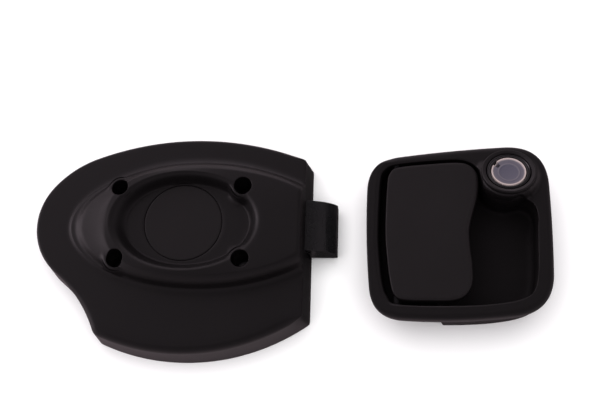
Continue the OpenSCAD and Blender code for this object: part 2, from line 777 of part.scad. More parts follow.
// Translucent dust plug pushed into the barrel
module dust_plug() {
    color([0.82, 0.8, 0.85, 0.8]) barrel_place() difference() {
        union() {
            translate([0, 0, -2.5]) cylinder(r = plug_r, h = 2.5 + collar_h - 0.4);
            translate([0, 0, -7.6]) cylinder(r = 4, h = 6);
        }
        translate([0.6, -0.6, collar_h - 1.4]) difference() {
            cylinder(r = plug_r - 2.6, h = 4);
            translate([0.8, -0.4, -1]) cylinder(r = 4.6, h = 1.8);
        }
        rotate([0, 0, 142]) translate([plug_r - 3.4, -1, collar_h - 2.4]) cube([4, 2, 4]);
    }
}

// Four brass inserts for the screws of the clamp bracket
module threaded_inserts() {
    color([0.78, 0.62, 0.3]) handle_place() for (p = inserts) translate([p.x, p.y, 1]) difference() {
        cylinder(r = insert_r - 0.02, h = 6.8);
        translate([0, 0, -1]) cylinder(r = 2.1, h = 9);
    }
}

case_cover();
back_plate();
plate_screws();
screw_sleeves();
blanking_disc();
latch_bolt();
bolt_spring();
spring_post();
bolt_guide();
retractor_lever();
lever_pin();
lever_clip();
handle_frame();
rim_gasket();
paddle();
hinge_pins();
spring_arbor();
paddle_spring();
release_slide();
slide_keeper();
paddle_buffers();
barrel_collar();
barrel_carrier();
locking_cam();
cam_screw();
dust_plug();
threaded_inserts();
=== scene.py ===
import json
import math

import bmesh
import bpy
import numpy as np
from mathutils import Matrix, Vector

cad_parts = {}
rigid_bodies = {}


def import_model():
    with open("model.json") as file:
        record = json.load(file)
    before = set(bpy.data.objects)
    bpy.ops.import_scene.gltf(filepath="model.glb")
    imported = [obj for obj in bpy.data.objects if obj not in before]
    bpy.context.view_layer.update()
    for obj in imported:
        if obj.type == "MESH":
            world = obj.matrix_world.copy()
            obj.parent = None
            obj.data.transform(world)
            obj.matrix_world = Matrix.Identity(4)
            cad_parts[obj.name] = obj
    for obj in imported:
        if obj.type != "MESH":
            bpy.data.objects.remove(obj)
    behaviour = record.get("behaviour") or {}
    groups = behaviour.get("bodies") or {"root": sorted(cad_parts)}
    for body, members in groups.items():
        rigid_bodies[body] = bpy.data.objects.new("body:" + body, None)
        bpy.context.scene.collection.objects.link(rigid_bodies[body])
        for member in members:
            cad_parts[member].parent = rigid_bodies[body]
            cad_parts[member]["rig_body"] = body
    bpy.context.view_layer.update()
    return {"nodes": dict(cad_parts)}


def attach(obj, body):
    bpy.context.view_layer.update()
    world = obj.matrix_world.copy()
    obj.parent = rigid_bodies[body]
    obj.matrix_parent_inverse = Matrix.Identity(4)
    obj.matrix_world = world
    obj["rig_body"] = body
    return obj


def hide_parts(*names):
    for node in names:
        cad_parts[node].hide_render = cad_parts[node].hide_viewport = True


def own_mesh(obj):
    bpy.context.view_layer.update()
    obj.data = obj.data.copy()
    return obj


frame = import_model()

# Camera
# The set lies flat and is seen from above its lower edge, a little from the right, through a long lens.
# The camera keeps the row's X axis as its own horizontal, so the picture is not quite level.
SENSOR, FOCAL = 36, 65.47
eye = Vector((0.0693, -0.1762, 0.6482))
aim = Vector((0.0057, 0.0348, 0.0))
sight = (aim - eye).normalized()
across = (Vector((1, 0, 0)) - sight * sight.x).normalized()
lens = bpy.data.cameras.new("camera")
lens.sensor_width = SENSOR
lens.lens = FOCAL
camera = bpy.data.objects.new("camera", lens)
pointing = Matrix((across, across.cross(sight), -sight)).transposed().to_4x4()
camera.matrix_world = Matrix.Translation(eye) @ pointing
bpy.context.scene.collection.objects.link(camera)
bpy.context.scene.camera = camera
bpy.context.scene.view_settings.view_transform = "Standard"

# Floor and light
# A wide sheet of white card under the set, lit evenly by a ceiling panel that the gloss does not show.
# It stands in a tent whose walls glow on the left and at the back and are dim elsewhere.
# In reflections only, the card is painted darker (painted shade), with painted shadow strips in the lee
# of the case and right of the handle, so the black skins stay dark.
FLOOR_HALF, FLOOR_DROP = 4, 0.0002
STRIP_FROM, STRIP_SPAN = -0.2, 0.5
# Card tones seen in reflections only: painted shade for the open card, painted shadow beside the units.
PAINTED_FLOOR_SHADE, PAINTED_CASE_SHADOW, PAINTED_HANDLE_SHADOW = (0.37, 0.31, 0.33), (0.05, 0.046, 0.048), 0.11
PANEL_SIDE, PANEL_UP, PANEL_WATTS = 3.2, 2.2, 92
TENT_TINT, TENT_DIM = (1.0, 0.85, 0.94), 0.02
GLOWS = [((-1, 0.12, 0.12), 0.75, 3.0), ((-1, 0.15, 0.0), 3.2, 22.0), ((0, 1, 0.05), 1.35, 11.0),
         ((-0.4, 0.65, 0.65), 0.62, 9.0), ((1, 0.1, 0.4), 0.32, 3.0), ((0, -1, 0.25), 0.28, 2.5)]


class Shade:
    """A socket in a material. Sums and products of these add Math nodes."""

    def __init__(self, tree, socket=None):
        self.tree = tree
        self.socket = socket

    def node(self, kind, settings=None, sockets=None, out=0):
        made = self.tree.nodes.new(kind)
        for key, value in (settings or {}).items():
            if key == "stops":
                while len(made.color_ramp.elements) < len(value):
                    made.color_ramp.elements.new(0.5)
                for stop, (at, tone) in zip(made.color_ramp.elements, value):
                    stop.position = at
                    stop.color = (*tone, 1) if hasattr(tone, "__len__") else (tone, tone, tone, 1)
            else:
                setattr(made, key, value)
        for key, value in (sockets or {}).items():
            self.feed(made.inputs[key], value)
        return Shade(self.tree, made.outputs[out])

    def feed(self, socket, value):
        if isinstance(value, Shade):
            self.tree.links.new(value.socket, socket)
        else:
            socket.default_value = value

    def math(self, operation, a, b):
        return self.node("ShaderNodeMath", {"operation": operation}, {0: a, 1: b})

    def __add__(self, other):
        return self.math("ADD", self, other)

    def __mul__(self, other):
        return self.math("MULTIPLY", self, other)

    __radd__ = __add__
    __rmul__ = __mul__

    def noise(self, at, scale, detail=2.0, rough=0.5):
        sockets = {"Vector": at, "Scale": scale, "Detail": detail, "Roughness": rough}
        return self.node("ShaderNodeTexNoise", {}, sockets)

    def stretch(self, at, scale):
        return self.node("ShaderNodeMapping", {}, {"Vector": at, "Scale": scale})

    def vector_math(self, operation, sockets, out=0):
        return self.node("ShaderNodeVectorMath", {"operation": operation}, sockets, out)

    def ramp(self, factor, *stops):
        return self.node("ShaderNodeValToRGB", {"stops": stops}, {"Fac": factor})

    def blend(self, factor, a, b):
        return self.node("ShaderNodeMix", {"data_type": "RGBA"}, {0: factor, 6: a, 7: b}, out=2)

    def bump(self, height, strength, distance, under=None):
        sockets = {"Height": height, "Strength": strength, "Distance": distance}
        if under:
            sockets["Normal"] = under
        return self.node("ShaderNodeBump", {}, sockets)


def finish(name, **constants):
    """A new material, its first Shade, its Object coordinates, and its shader's sockets, constants set."""
    made = bpy.data.materials.new(name)
    made.use_nodes = True
    tree = made.node_tree
    shader = next(n for n in tree.nodes if n.type == "BSDF_PRINCIPLED")
    for key, value in constants.items():
        shader.inputs[key.replace("_", " ")].default_value = value
    first = Shade(tree)
    place = first.node("ShaderNodeTexCoord", out=3)
    return made, first, place, shader.inputs


white_card, first, place, inputs = finish("white_card", Roughness=0.75)
cloud = first.noise(place, 9.0)
mirrored = first.node("ShaderNodeLightPath", out="Is Glossy Ray")
pale = first.blend(cloud, (0.90, 0.90, 0.90, 1), (0.94, 0.94, 0.94, 1))
along = first.node("ShaderNodeSeparateXYZ", {}, {0: place})
strip = along * (1 / STRIP_SPAN) + -STRIP_FROM / STRIP_SPAN
# Painted shadow in reflections only: darker strips of card right of the case and right of the handle.
painted_shadows = first.ramp(strip, (0.424, PAINTED_FLOOR_SHADE), (0.434, PAINTED_CASE_SHADOW), (0.47, PAINTED_CASE_SHADOW), (0.51, PAINTED_FLOOR_SHADE),
                 (0.70, PAINTED_FLOOR_SHADE), (0.72, PAINTED_HANDLE_SHADOW), (0.80, PAINTED_HANDLE_SHADOW), (0.88, PAINTED_FLOOR_SHADE))
first.feed(inputs["Base Color"], first.blend(mirrored, pale, painted_shadows))
bm = bmesh.new()
bmesh.ops.create_grid(bm, x_segments=1, y_segments=1, size=FLOOR_HALF)
bmesh.ops.translate(bm, vec=(0, 0, -FLOOR_DROP), verts=bm.verts)
card = bpy.data.meshes.new("floor")
bm.to_mesh(card)
bm.free()
card.materials.append(white_card)
floor = bpy.data.objects.new("floor", card)
bpy.context.scene.collection.objects.link(floor)

panel = bpy.data.lights.new("ceiling_panel", "AREA")
panel.shape = "RECTANGLE"
panel.size = panel.size_y = PANEL_SIDE
panel.energy = PANEL_WATTS
ceiling = bpy.data.objects.new("ceiling_panel", panel)
ceiling.location = (0, 0, PANEL_UP)
ceiling.visible_glossy = False
bpy.context.scene.collection.objects.link(ceiling)

tent = bpy.data.worlds.new("tent")
bpy.context.scene.world = tent
tent.use_nodes = True
sky = Shade(tent.node_tree)
way = sky.node("ShaderNodeTexCoord", out=0)
walls = TENT_DIM
for towards, strength, narrow in GLOWS:
    facing = sky.vector_math("DOT_PRODUCT", {0: way, 1: Vector(towards).normalized()}, out=1)
    walls = walls + sky.math("POWER", sky.math("MAXIMUM", facing, 0.0), narrow) * strength
backdrop = next(n for n in tent.node_tree.nodes if n.type == "BACKGROUND")
sky.feed(backdrop.inputs["Color"], sky.vector_math("SCALE", {0: TENT_TINT, "Scale": walls}))
backdrop.inputs["Strength"].default_value = 1.0

# Case cover
# The inner lock case is one hollow moulding in black glass-filled nylon with a fine spark-eroded skin.
# A drafted skirt carries a raised ridge with an oval dish, and four screw wells go down through it.
# Every ring of its skin has one point on each of the same rays, which are the columns of COMPASS.
MM = 0.001
COLUMNS = 400
CASE = Matrix.Translation((-62.0855, 11.721, 0))
REACH, SKIRT, WALL = 76.2, 24.0, 2.2
# Draft and inset of the skirt's sides, then of its flat right end, with the height and X it counts from.
SIDE_DRAFT, SIDE_IN, END_DRAFT, END_IN, END_Z, END_FROM = 1 / 12, 0.31, 0.08, 2.8, 22.75, 20
# Radius of the skirt's top edge, what the near side has more, and the radius at the right wall.
EDGE_R, NEAR_EDGE_MORE, WALL_EDGE_R = 2.0, 2.2, 0.7
HOLLOW_CORNER = (-35.2, -45.6)
RIDGE_AT, RIDGE_NOSE, RIDGE_TAIL, RIDGE_HALF = np.array([10, -1.5]), 81.0, 82.0, 39.0
# Way in from the ridge's foot to its crown, the apron outside it, and how much wider the two sides run.
RIDGE_RUN, RIDGE_APRON, FAR_SPREAD, NEAR_SPREAD, END_ROLL = 5.9, 4, 0.18, 0.1, 2
DISH_AT, DISH_A, DISH_B, DISH_STEEP = np.array([1.8, -1.0]), 46.2, 31.2, 0.8
# Heights of the dish, the way in to its floor, and how its wall drops and widens towards the nose.
DISH_FLOOR, DISH_CREST, DISH_RUN, NOSE_DROP, NOSE_FLARE = 27.0, 35.95, 8.3, 0.9, 0.25
DISH_LAND, DISC_LEDGE = 1.3, 24.5
WELLS = [(x, y) for x in (-39.0, 36.0) for y in (-23.5, 21.5)]
# The wells lean a little as moulded: where each is at the top, and the level of its raised rim.
WELL_TOPS = [(-38.8, -24.0, 31.8), (-38.9, 20.4, 31.2), (36.75, -24.25, 35.0), (36.6, 20.7, 35.0)]
WELL_R, WELL_EASE, WELL_BOSS, WELL_FLOOR, SLEEVE_R = 5.35, 0.3, 5, 10.0, 3.97
ABOVE_SKIRT = 25
SLOT_HALF, SLOT_LOW, SLOT_HIGH = 15.9, 3.7, 22.3


def heading(degrees):
    """Unit vector at an angle, which is also its cosine and sine."""
    return np.array([math.cos(math.radians(degrees)), math.sin(math.radians(degrees))])


def bearing(way):
    return math.degrees(math.atan2(way[1], way[0]))


def smooth_step(x, low, high):
    t = np.clip((x - low) / (high - low), 0, 1)
    return t * t * (3 - 2 * t)


def arc(centre, radius, start, stop):
    """Points about 0.8 mm apart along an arc, without its last point."""
    n = max(2, round(abs(stop - start) * radius / 46))
    return [centre + radius * heading(start + (stop - start) * i / n) for i in range(n)]


def between(a, b, n):
    """n - 1 points or rings on the straight way from a to b."""
    return [a + (b - a) * i / n for i in range(1, n)]


def even(points, n):
    """The same closed outline as n points an equal step apart."""
    p = np.vstack([points, points[:1]])
    s = np.concatenate([[0], np.cumsum(np.linalg.norm(np.diff(p, axis=0), axis=1))])
    at = np.linspace(0, s[-1], n, endpoint=False)
    return np.column_stack([np.interp(at, s, p[:, 0]), np.interp(at, s, p[:, 1])])


def soften(points, times):
    """Rounds the corners of a closed outline of close points."""
    for _ in range(times):
        points = (np.roll(points, 1, 0) + 2 * points + np.roll(points, -1, 0)) / 4
    return points


def angle_of(points):
    return np.arctan2(points[:, 1], points[:, 0])


def at_angles(points, angles):
    """The outline again, as the points where rays from its middle at these angles cross it."""
    r = np.interp(angles, angle_of(points), np.hypot(points[:, 0], points[:, 1]), period=2 * math.pi)
    return np.column_stack([r * np.cos(angles), r * np.sin(angles)])


def case_outline(d):
    """Outline moved in by d: straight right wall, long top arc, shoulder, nose, hollow and bottom arc.

    The hollow meets the bottom arc at a corner, which is cut short by a small flat.
    """
    nose, bottom = np.array([-53.6, -0.5]), np.array([0.9, 48.2])
    nose_r, shoulder_r, top_r, hollow_r, bottom_r = 40.2, 64.3, 178.0, 81.6, 128.7
    top_end, shoulder_end, nose_end, flat, wall_pace = 111.1, 141, 231.3, 90, 1.45
    shoulder = nose - (shoulder_r - nose_r) * heading(shoulder_end)
    top = shoulder - (top_r - shoulder_r) * heading(top_end)
    hollow = nose + (nose_r + hollow_r) * heading(nose_end)
    wall = REACH - wall_pace * d
    gap = bottom - hollow
    span = np.linalg.norm(gap)
    ra, rb, rt = hollow_r + d, bottom_r - d, top_r - d
    along = (ra * ra - rb * rb + span * span) / (2 * span)
    beside = math.sqrt(ra * ra - along * along) * np.array([gap[1], -gap[0]])
    meet = hollow + (along * gap + beside) / span
    hollow_end = bearing(meet - hollow) + flat / hollow_r
    bottom_start = bearing(meet - bottom) + flat / bottom_r
    high = math.degrees(math.acos((wall - top[0]) / rt))
    low = -math.degrees(math.acos((wall - bottom[0]) / rb))
    wall_low, wall_high = bottom + rb * heading(low), top + rt * heading(high)
    flat_start, flat_end = hollow + ra * heading(hollow_end), bottom + rb * heading(bottom_start)
    return np.array(
        [wall_low] + between(wall_low, wall_high, 110)
        + arc(top, rt, high, top_end)
        + arc(shoulder, shoulder_r - d, top_end, shoulder_end)
        + arc(nose, nose_r - d, shoulder_end, nose_end)
        + arc(hollow, ra, nose_end - 180, hollow_end)
        + [flat_start] + between(flat_start, flat_end, 6)
        + arc(bottom, rb, bottom_start, low))


COMPASS = angle_of(even(soften(case_outline(0), 2), COLUMNS))
for x, y in ((REACH - 1, -SLOT_HALF), (REACH - 1, SLOT_HALF), HOLLOW_CORNER):
    COMPASS[np.argmin(np.abs(COMPASS - math.atan2(y, x)))] = math.atan2(y, x)
FACING = np.column_stack([np.cos(COMPASS), np.sin(COMPASS)])
NOSEWARD = np.maximum(0, -FACING[:, 0]) ** 3
DEPTHS = np.arange(9)
REACHES = np.array([np.linalg.norm(at_angles(soften(case_outline(d), 2), COMPASS), axis=1) for d in DEPTHS]).T


def case_ring(d):
    """Outline of the case moved in by d, which may differ from column to column."""
    r = [np.interp(x, DEPTHS, reach) for x, reach in zip(np.broadcast_to(d, COLUMNS), REACHES)]
    return FACING * np.reshape(r, (-1, 1))


def oval_ring(a, b):
    r = 1 / np.sqrt((FACING[:, 0] / a) ** 2 + (FACING[:, 1] / b) ** 2)
    return FACING * r[:, None]


def lift(ring, z):
    """A flat ring raised to one height, or to a height for each point."""
    return np.column_stack([ring, np.full(len(ring), z) if np.isscalar(z) else z])


def drafted(z):
    """How far the skirt's draft has brought its wall in at a height."""
    return SIDE_IN + (z - SLOT_LOW) * SIDE_DRAFT


def wall_line(z):
    """Where the right wall stands at a height, up past the skirt to the end of the ridge."""
    return REACH - END_IN - END_DRAFT * (z - END_Z)


def dish_ring(e):
    """The oval of the dish moved in by e, no further than the ledge around the disc."""
    b = DISH_B - (DISH_STEEP if e > 0 else 1) * e
    q = at_angles(oval_ring(DISH_A - e * (1 + NOSE_FLARE * NOSEWARD), b) + DISH_AT, COMPASS)
    least = DISC_LEDGE + 0.1 * max(0, DISH_RUN - e)
    return q * np.maximum(1, least / np.linalg.norm(q, axis=1))[:, None]


def ridge_oval(grow):
    a = np.where(FACING[:, 0] > 0, RIDGE_TAIL, RIDGE_NOSE)
    return at_angles(oval_ring(a + grow, RIDGE_HALF + grow) + RIDGE_AT, COMPASS)


def ridge_ring(e, side_z, nose_z, back):
    """Ridge outline moved in by e, spread to a long ramp over the nose, cut off flush at the right wall."""
    far, near = smooth_step(FACING[:, 1], 0.5, 0.95), smooth_step(-FACING[:, 1], 0.5, 0.95)
    e = RIDGE_RUN - (RIDGE_RUN - e) * (1 + FAR_SPREAD * far + NEAR_SPREAD * near)
    q = ridge_oval(-e)
    room = 1 - np.linalg.norm(dish_ring(-DISH_LAND), axis=1) / np.linalg.norm(q, axis=1)
    q = q * (1 - NOSEWARD * np.maximum(e, 0) / RIDGE_RUN * room)[:, None]
    end = wall_line(side_z) - back
    at_end = np.maximum(END_ROLL - np.abs(q[:, 0] - end), 0) / END_ROLL
    cut = (np.minimum(q[:, 0], end) - at_end ** 2 * 0.5) / np.maximum(q[:, 0], 1)
    q = q * np.where(q[:, 0] > END_FROM, cut, 1)[:, None]
    return lift(q, side_z + (nose_z - side_z) * NOSEWARD)


RIDGE_FOOT = ridge_oval(RIDGE_APRON)[:, 0]


def flush(ring):
    """Carries the skirt's top edge and land out to the wall where the ridge runs into it."""
    share = smooth_step(RIDGE_FOOT, REACH - 8, REACH - 4.5)
    ring[:, :2] *= (1 + share * (wall_line(ring[:, 2]) / np.maximum(ring[:, 0], END_FROM) - 1))[:, None]
    return ring


def eased_through(points, steps):
    """A smooth run through a few profile points; the first and last only steer it."""
    p = np.array(points, float)
    run = []
    for a, b, c, d in zip(p, p[1:], p[2:], p[3:]):
        for t in np.arange(steps) / steps:
            run.append(b + t * (c - a) / 2 + t * t * (a - 2.5 * b + 2 * c - d / 2)
                       + t ** 3 * (-a / 2 + 1.5 * b - 1.5 * c + d / 2))
    return run + [p[-2]]


def loop_of(bm, points):
    """The first closed loop of edges of a lofted skin."""
    verts = [bm.verts.new(p) for p in points]
    for a, b in zip(verts, verts[1:] + verts[:1]):
        bm.edges.new((a, b))
    return verts


def carry(bm, loop, points):
    """Extrudes a closed loop of edges and takes each new corner to its point."""
    edges = [bm.edges.get((a, b)) for a, b in zip(loop, loop[1:] + loop[:1])]
    made = set(bmesh.ops.extrude_edge_only(bm, edges=edges)["geom"])
    fresh = [next(o for o in (e.other_vert(v) for e in v.link_edges) if o in made) for v in loop]
    for v, p in zip(fresh, points):
        v.co = p
    return fresh


def loft(bm, rings, capped=False):
    """A skin through rings with the same number of points, with its ends closed on request."""
    loop = start = loop_of(bm, rings[0])
    for ring in rings[1:]:
        loop = carry(bm, loop, ring)
    if capped:
        for end in (start, loop):
            bmesh.ops.contextual_create(bm, geom=end)


def round_hole(bm, hub, r, low):
    """Cuts a round hole in a skin above a height and returns the corners around it, in order."""
    inside = [v for v in bm.verts if v.co.z > low and (v.co.xy - hub).length < r]
    within = set(inside)
    ring = []
    for v in inside:
        for e in list(v.link_edges):
            if e.other_vert(v) not in within and e.other_vert(v) not in ring:
                way, off = (e.other_vert(v).co - v.co).xy, v.co.xy - hub
                half = way.dot(off)
                t = (math.sqrt(half * half + way.dot(way) * (r * r - off.dot(off))) - half) / way.dot(way)
                ring.append(bmesh.utils.edge_split(e, v, t)[1])
    on_ring = set(ring)
    for v in ring:
        for f in list(v.link_faces):
            ends = [c for c in f.verts if c in on_ring]
            if len(ends) == 2 and not bm.edges.get(ends):
                bmesh.utils.face_split(f, *ends)
    gone = [f for f in bm.faces if any(v in within for v in f.verts)]
    bmesh.ops.delete(bm, geom=gone, context="FACES")
    loop = [next(v for v in ring if v.is_valid)]
    step = next(e for e in loop[0].link_edges if e.is_boundary)
    while step.other_vert(loop[-1]) != loop[0]:
        loop.append(step.other_vert(loop[-1]))
        step = next(e for e in loop[-1].link_edges if e.is_boundary and e != step)
    return loop


def settle(bm, name, place, body, finish_with, node, sharp=35, outward=True):
    """Turns a shape in millimetres into a piece in the row frame that rides on its body."""
    if outward:
        bmesh.ops.recalc_face_normals(bm, faces=bm.faces)
    bmesh.ops.transform(bm, matrix=Matrix.Scale(MM, 4) @ place, verts=bm.verts)
    mesh = bpy.data.meshes.new(name)
    bm.to_mesh(mesh)
    bm.free()
    mesh.shade_smooth()
    mesh.set_sharp_from_angle(angle=math.radians(sharp))
    mesh.materials.append(finish_with)
    made = bpy.data.objects.new(name, mesh)
    bpy.context.scene.collection.objects.link(made)
    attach(made, body)
    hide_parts(node)
    return made


def black_plastic(name, rough, grain, tone=1.0, dull=0.0):
    """Black moulded nylon with a fine spark-eroded grain and faint flow clouds.

    Tone lightens its colour over the whole piece, and dull roughens it deep inside the handle, below the rim.
    """
    made, first, place, inputs = finish(name, IOR=1.5)
    clouds = first.noise(place, 38.0, 3.0, 0.55)
    flow = first.noise(first.stretch(place, (22.0, 160.0, 60.0)), 1.0, 2.0)
    speck = first.noise(place, 900.0, 2.0, 0.6)
    low = tuple(tone * c for c in (0.0013, 0.0011, 0.0012)) + (1,)
    high = tuple(tone * c for c in (0.0022, 0.0018, 0.0019)) + (1,)
    first.feed(inputs["Base Color"], first.blend(clouds * 0.6 + speck * 0.4, low, high))
    height = first.node("ShaderNodeSeparateXYZ", {}, {0: place}, out=2)
    deep = first.node("ShaderNodeMapRange", {"interpolation_type": "SMOOTHSTEP"},
                      {"Value": height, "From Min": 0.031, "From Max": 0.024, "To Min": 0.0, "To Max": dull})
    first.feed(inputs["Roughness"], rough - 0.05 + clouds * 0.07 + flow * 0.04 + deep)
    fine = first.noise(place, 2600.0, 2.0, 0.6)
    broad = first.noise(place, 150.0, 2.0, 0.5)
    first.feed(inputs["Normal"], first.bump(fine, grain, 0.00012, first.bump(broad, 0.10, 0.0003)))
    return made


moulding = black_plastic("spark_eroded_nylon", 0.46, 0.20)

# The profiles are pairs of inset and height. The ridge has a second height, over the nose, and a set-back
# from the right wall.
skirt = [(0.45, 0.0), (0.12, 0.12), (0.0, 0.45), (0.15, 1.9), (SIDE_IN, SLOT_LOW), (0.65, 7.8), (1.05, 12.6),
         (1.45, 17.4)]
ridge = eased_through([(-5.5, 24.0, 24.0, 0), (-4.0, 24.0, 24.0, 0), (-2.8, 24.12, 24.0, 0),
                       (-1.8, 24.4, 24.0, 0), (-0.9, 24.85, 24.06, 0), (-0.2, 25.4, 24.2, 0),
                       (0.1, 25.7, 24.5, 0), (0.3, 25.95, 25.1, 0), (0.7, 26.85, 25.4, 0),
                       (1.0, 27.75, 26.0, 0), (1.4, 29.1, 27.4, 0), (1.8, 30.35, 28.5, 0),
                       (2.2, 31.35, 29.2, 0), (3.1, 33.0, 30.55, 0), (4.3, 34.4, 32.35, 0.2),
                       (RIDGE_RUN, 35.5, 34.7, 0.9), (7.6, 36, 36, 2)], 3)
dish = eased_through([(-1.8, 35.4), (0, DISH_CREST), (1.7, 35.45), (3.1, 34.2), (4.4, 32.2), (5.7, 29.7),
                      (6.8, 27.9), (7.5, 27.2), (DISH_RUN, DISH_FLOOR), (9.4, DISH_FLOOR)], 3)
seat = [(24.25, DISH_FLOOR), (24.02, 26.93), (23.92, 26.75), (23.9, 25.6), (4.1, 25.6)]
near_side = smooth_step(-FACING[:, 1], 0.35, 0.75)
right_wall = smooth_step(case_ring(0)[:, 0], REACH - 9, REACH - 2)
edge_r = (EDGE_R + NEAR_EDGE_MORE * near_side) * (1 - right_wall) + WALL_EDGE_R * right_wall
turn = SKIRT - edge_r
brow = np.minimum(SLOT_HIGH, turn - 0.4)
rings = [lift(case_ring(d), z) for d, z in skirt] + [lift(case_ring(drafted(brow)), brow)]
land = []
for bend in range(0, 91, 10):
    c, s = heading(bend)
    land.append(lift(case_ring(drafted(turn) + edge_r * (1 - c)), turn + edge_r * s))
steps = [ridge_ring(*step) for step in ridge]
land += between(land[-1], steps[0], 6)
rings += [flush(ring) for ring in land] + steps
depth = DISH_CREST - DISH_FLOOR
bowl_rings = [lift(dish_ring(e), z - NOSE_DROP * NOSEWARD * (z - DISH_FLOOR) / depth) for e, z in dish]
rings += between(rings[-1], bowl_rings[0], 12) + bowl_rings
seat_rings = [lift(oval_ring(r, r), z) for r, z in seat]
rings += between(rings[-1], seat_rings[0], 6) + seat_rings
bm = bmesh.new()
loft(bm, rings)
for foot, (x, y, level) in zip(WELLS, WELL_TOPS):
    hub = Vector((x, y))
    for v in bm.verts:
        off = (v.co.xy - hub).length
        if off < WELL_R + WELL_BOSS and ABOVE_SKIRT < v.co.z < level:
            v.co.z += (level - v.co.z) * float(1 - smooth_step(off, WELL_R + 0.4, WELL_R + WELL_BOSS))
    loop = round_hole(bm, hub, WELL_R + WELL_EASE, ABOVE_SKIRT)
    brink = [(v.co.z, (v.co.xy - hub).normalized()) for v in loop]
    for bend in (30, 60, 90):
        c, s = heading(bend)
        r = WELL_R + WELL_EASE * (1 - s)
        loop = carry(bm, loop, [(*(hub + out * r), z - WELL_EASE * (1 - c)) for z, out in brink])
    for r, z in ((WELL_R, 20.0), (WELL_R, WELL_FLOOR), (SLEEVE_R, WELL_FLOOR), (SLEEVE_R, 9.0)):
        loop = carry(bm, loop, [(*(Vector(foot) + out * r), z) for _, out in brink])
slot_faces = []
for f in bm.faces:
    at = f.calc_center_median()
    if at.x > REACH - 4 and abs(at.y) < SLOT_HALF and SLOT_LOW < at.z < SLOT_HIGH:
        slot_faces.append(f)
bmesh.ops.delete(bm, geom=slot_faces, context="FACES")
bmesh.ops.recalc_face_normals(bm, faces=bm.faces)
if max(bm.faces, key=lambda f: f.calc_center_median().z).normal.z < 0:
    bmesh.ops.reverse_faces(bm, faces=bm.faces)
cover = settle(bm, "cover_moulding", CASE, "fixed", moulding, "case_cover",
               sharp=60, outward=False)
thickness = cover.modifiers.new("wall", "SOLIDIFY")
thickness.thickness = WALL * MM
thickness.offset = -1

# Handle frame
# The outer handle is a shallow tray moulded in the same black nylon: a bowed rim, a pocket under the paddle
# and a deep finger recess. Its upper right corner swells into a leaning round boss that carries the barrel.
# Bosses for the clamp screws, guides for the slide and posts for the paddle's buffers are moulded on.
HANDLE = Matrix.Translation((101.228, 4.05, 0))
RIM_TOP, RIM_MID, RIM_LOW, POCKET, RECESS, SPLIT = 34.0, 30, 27.0, 14.5, 11.0, -10.3
BOWL, BOWL_LOWER, UNDERSIDE, RECESS_UNDER = 2.5, 2.2, 12, 8.5
# Radius at the foot of the recess and of the lip around the opening, with what each side has more or less.
SCOOP, SCOOP_RIGHT, SCOOP_LOWER, LIP, LIP_LEFT, LIP_RIGHT = 2.2, 2.5, 1.2, 1.1, 2.0, 0.7
RIM = np.array([(-49.2, -50.0), (54.2, -45.2), (52.9, 54.6), (-51.4, 44.9)])
RIM_BOW, RIM_CORNERS = (4.2, 1.6, 1.8, 2.2), (21, 24, 18, 17)
BOSS_AT, BOSS_TOP, BOSS_R, BOSS_FADE = np.array([30.4, 35.5]), 37.0, 15.8, 3.8
LEAN = math.radians(18.5)
BOSS = Matrix.Translation((*BOSS_AT, BOSS_TOP)) @ Matrix.Rotation(-LEAN, 4, "X")
CARRIER_BORE, SHAFT_BORE = 13.1, 6.05
CLAMP_POSTS = [(x, y, top) for x, top in ((-36, 13), (40, 9.6)) for y in (10, -32)]
SLIDE_GUIDES, ARBOR_EARS, BUFFER_POSTS, POST_LOW = (-11.8, 11.8), (14, 26), (-30, 29), 13.5
DIAL = np.linspace(-math.pi, math.pi, COLUMNS, endpoint=False)
FLOOR_SHARES = (0.05, 0.2, 0.36, 0.5, 0.62, 0.71, 0.78, 0.84, 0.885, 0.92, 0.945, 0.965, 0.98, 0.99, 0.996,
                0.999, 1)


def bowed(corners, bow, cut):
    """Four bowed sides joined by rounded corners."""
    def side(a, b, sag, t):
        d = b - a
        return a + t * d + 4 * sag * t * (1 - t) * np.array([d[1], -d[0]]) / np.linalg.norm(d)

    run = []
    for i in range(4):
        a, b, c = corners[i], corners[(i + 1) % 4], corners[(i + 2) % 4]
        t0, t1 = cut[i - 1] / np.linalg.norm(b - a), 1 - cut[i] / np.linalg.norm(b - a)
        e, f = side(a, b, bow[i], t1), side(b, c, bow[(i + 1) % 4], cut[i] / np.linalg.norm(c - b))
        run += [side(a, b, bow[i], t0 + (t1 - t0) * k / 60) for k in range(60)]
        run += [(1 - t) ** 2 * e + 2 * t * (1 - t) * b + t * t * f for t in np.arange(40) / 40]
    return np.array(run)


def closed_curve(points, steps):
    """Closed smooth curve through a few points."""
    p = np.array(points, float)
    return np.array(eased_through(np.vstack([p[-1:], p, p[:2]]), steps)[:-1])


def inset(ring, e):
    """The outline moved in along its own normals."""
    t = np.roll(ring, -1, 0) - np.roll(ring, 1, 0)
    t = t / np.linalg.norm(t, axis=1)[:, None]
    return ring - np.reshape(e, (-1, 1)) * np.column_stack([t[:, 1], -t[:, 0]])


rim_line = at_angles(bowed(RIM, RIM_BOW, RIM_CORNERS), DIAL)
mouth = at_angles(closed_curve(
    [(-0.8, -43.4), (22, -41.9), (37.6, -38.6), (43.6, -33.5), (45.9, -22), (46.6, 0), (46.9, 10.5),
     (44.6, 17.6), (38, 20.8), (30.2, 18.7), (22.5, 20.4), (16.6, 25.4), (14.6, 32.5), (12.6, 39.5),
     (6.4, 44), (-4, 45), (-33.5, 42.4), (-41.5, 38.8), (-44.2, 31), (-45.4, 1.2), (-44.6, -15),
     (-43, -28.8), (-40.3, -37.6), (-33.5, -42.9)], 16), DIAL)


